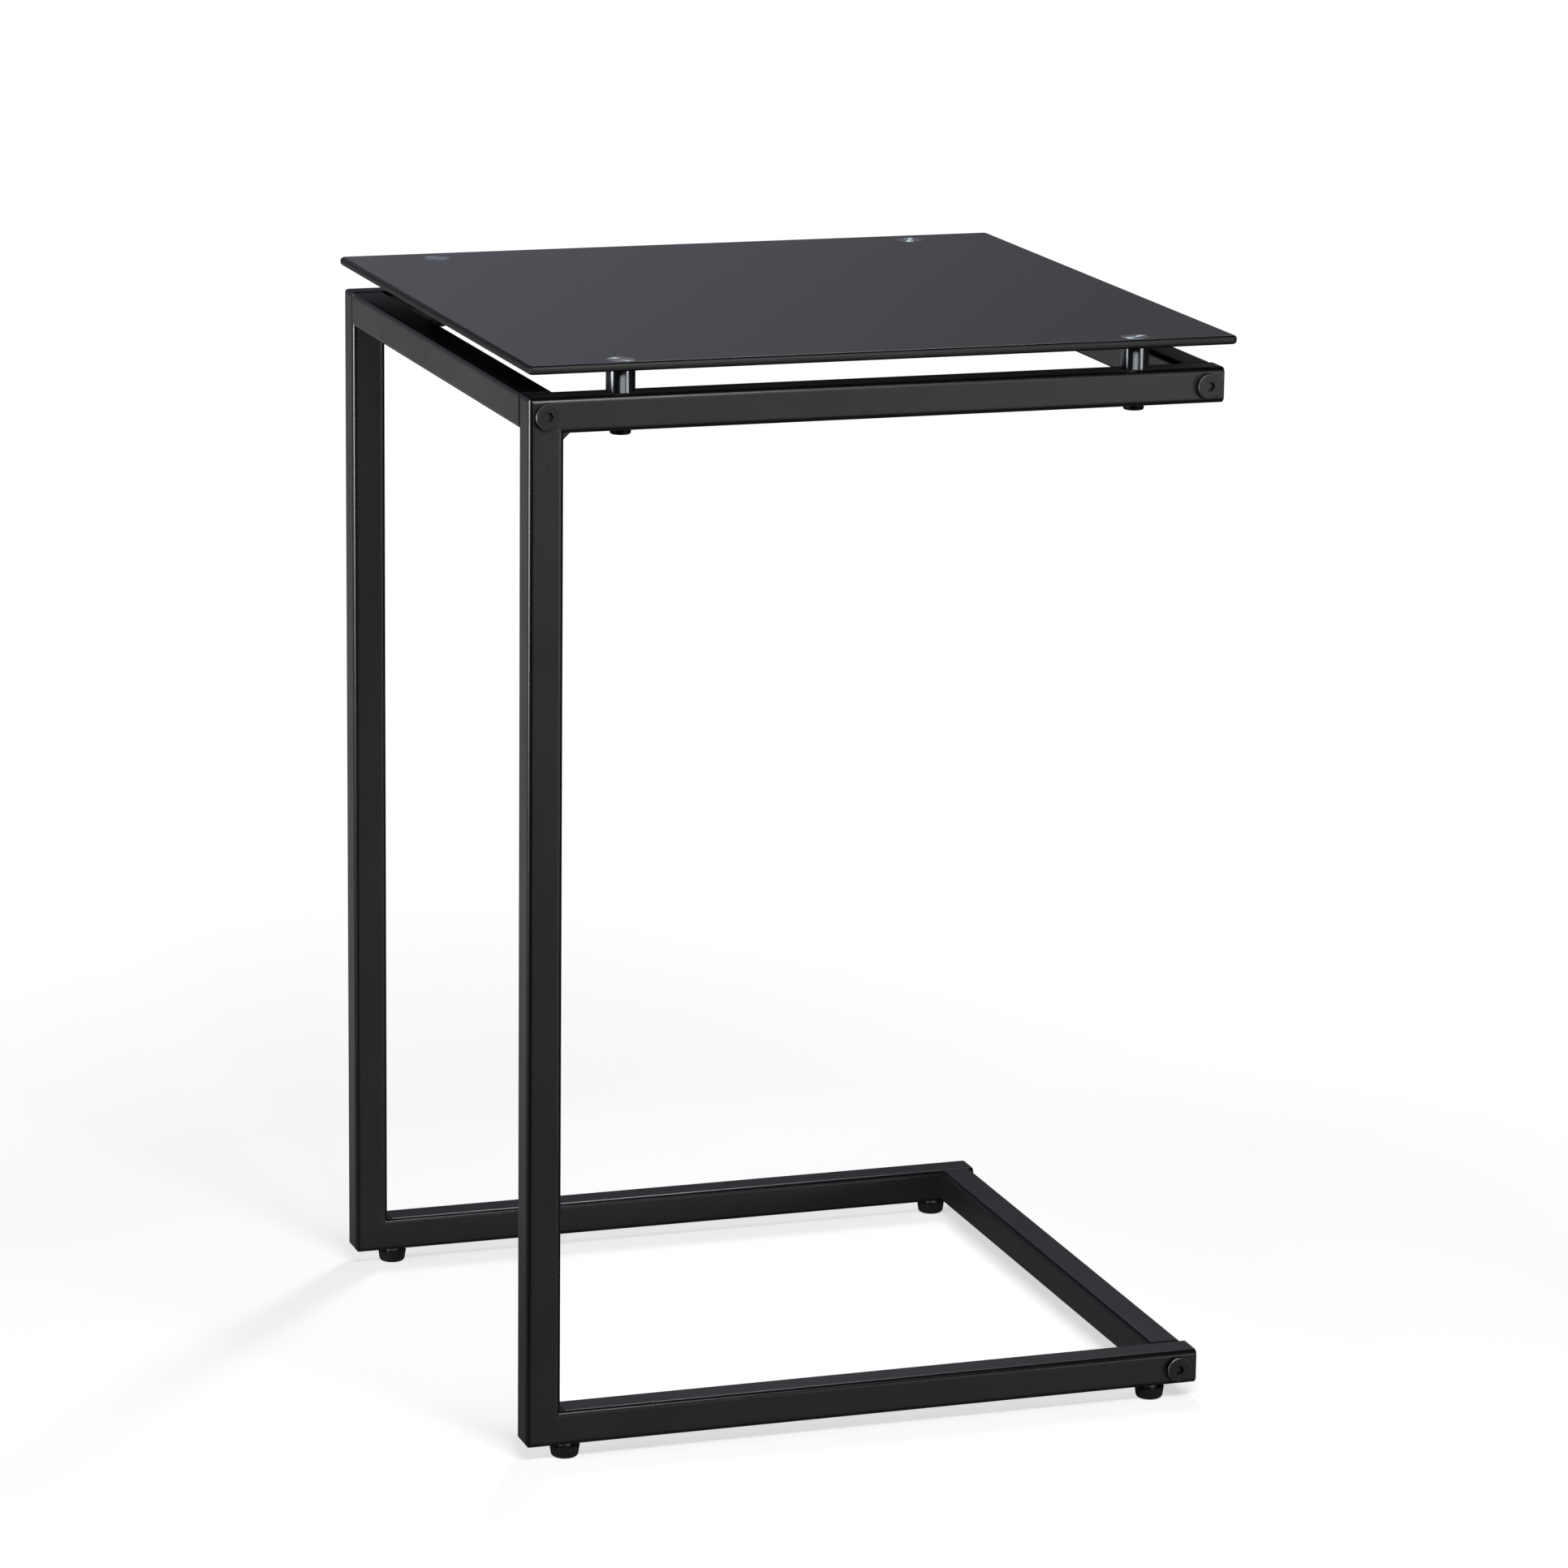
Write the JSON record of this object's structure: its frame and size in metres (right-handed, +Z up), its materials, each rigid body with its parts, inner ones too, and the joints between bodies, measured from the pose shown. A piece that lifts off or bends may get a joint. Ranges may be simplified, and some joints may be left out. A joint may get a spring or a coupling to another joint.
{
  "type": "c shaped side table",
  "caption": "C-shaped side table: black square-tube side frames tied by crossbars carry a black glass top on short metal standoffs, over levelling feet.",
  "frame": {"origin": "on the floor, under the middle of the glass top", "axes": "+Z up, +X from the uprights towards the open side of the C, +Y from the front side frame to the rear one"},
  "size_m": [0.407, 0.4, 0.6172],
  "materials": {
    "frame_paint": "satin black powder coat",
    "bolt_black": "black oxide",
    "nut_steel": "zinc-plated",
    "glass": "clear tempered glass, pencil-polished edge, backed with black enamel",
    "enamel": "black enamel, smooth",
    "standoff_chrome": "turned and chromed",
    "bond": "clear adhesive",
    "foot_black": "matt, grooved grip"
  },
  "bodies": {
    "table": {"front_upright": "frame_paint", "front_bottom_rail": "frame_paint", "front_top_rail": "frame_paint", "front_rail_end_caps": "frame_paint", "rear_upright": "frame_paint", "rear_bottom_rail": "frame_paint", "rear_top_rail": "frame_paint", "rear_rail_end_caps": "frame_paint", "top_left_crossbar": "frame_paint", "top_left_crossbar_nuts": "nut_steel", "top_left_crossbar_bolts": "bolt_black", "top_right_crossbar": "frame_paint", "top_right_crossbar_nuts": "nut_steel", "top_right_crossbar_bolts": "bolt_black", "bottom_right_crossbar": "frame_paint", "bottom_right_crossbar_nuts": "nut_steel", "bottom_right_crossbar_bolts": "bolt_black", "glass_top": "glass", "glass_enamel": "enamel", "front_left_standoff": "standoff_chrome", "front_right_standoff": "standoff_chrome", "rear_left_standoff": "standoff_chrome", "rear_right_standoff": "standoff_chrome", "standoff_screws": "bolt_black", "standoff_bonds": "bond", "foot_inserts": "nut_steel"},
    "front_left_foot_stud": {"front_left_foot_stud": "nut_steel"},
    "front_left_foot_pad": {"front_left_foot_pad": "foot_black"},
    "front_right_foot_stud": {"front_right_foot_stud": "nut_steel"},
    "front_right_foot_pad": {"front_right_foot_pad": "foot_black"},
    "rear_left_foot_stud": {"rear_left_foot_stud": "nut_steel"},
    "rear_left_foot_pad": {"rear_left_foot_pad": "foot_black"},
    "rear_right_foot_stud": {"rear_right_foot_stud": "nut_steel"},
    "rear_right_foot_pad": {"rear_right_foot_pad": "foot_black"}
  },
  "joints": [
    {"name": "front_left_foot_height", "type": "slide", "parent": "table", "child": "front_left_foot_stud", "axis": [0, 0, -1], "range_m": [0, 0.008]},
    {"name": "front_left_foot_turn", "type": "hinge", "parent": "front_left_foot_stud", "child": "front_left_foot_pad", "pos_m": [-0.177, -0.185, 0.004], "axis": [0, 0, -1], "range_deg": [0, 2880]},
    {"name": "front_right_foot_height", "type": "slide", "parent": "table", "child": "front_right_foot_stud", "axis": [0, 0, -1], "range_m": [0, 0.008]},
    {"name": "front_right_foot_turn", "type": "hinge", "parent": "front_right_foot_stud", "child": "front_right_foot_pad", "pos_m": [0.173, -0.185, 0.004], "axis": [0, 0, -1], "range_deg": [0, 2880]},
    {"name": "rear_left_foot_height", "type": "slide", "parent": "table", "child": "rear_left_foot_stud", "axis": [0, 0, -1], "range_m": [0, 0.008]},
    {"name": "rear_left_foot_turn", "type": "hinge", "parent": "rear_left_foot_stud", "child": "rear_left_foot_pad", "pos_m": [-0.177, 0.185, 0.004], "axis": [0, 0, -1], "range_deg": [0, 2880]},
    {"name": "rear_right_foot_height", "type": "slide", "parent": "table", "child": "rear_right_foot_stud", "axis": [0, 0, -1], "range_m": [0, 0.008]},
    {"name": "rear_right_foot_turn", "type": "hinge", "parent": "rear_right_foot_stud", "child": "rear_right_foot_pad", "pos_m": [0.173, 0.185, 0.004], "axis": [0, 0, -1], "range_deg": [0, 2880]}
  ],
  "couplings": [
    {"joint": "front_left_foot_turn", "follows": "front_left_foot_height", "rad_per_m": 6283.2},
    {"joint": "front_right_foot_turn", "follows": "front_right_foot_height", "rad_per_m": 6283.2},
    {"joint": "rear_left_foot_turn", "follows": "rear_left_foot_height", "rad_per_m": 6283.2},
    {"joint": "rear_right_foot_turn", "follows": "rear_right_foot_height", "rad_per_m": 6283.2}
  ]
}
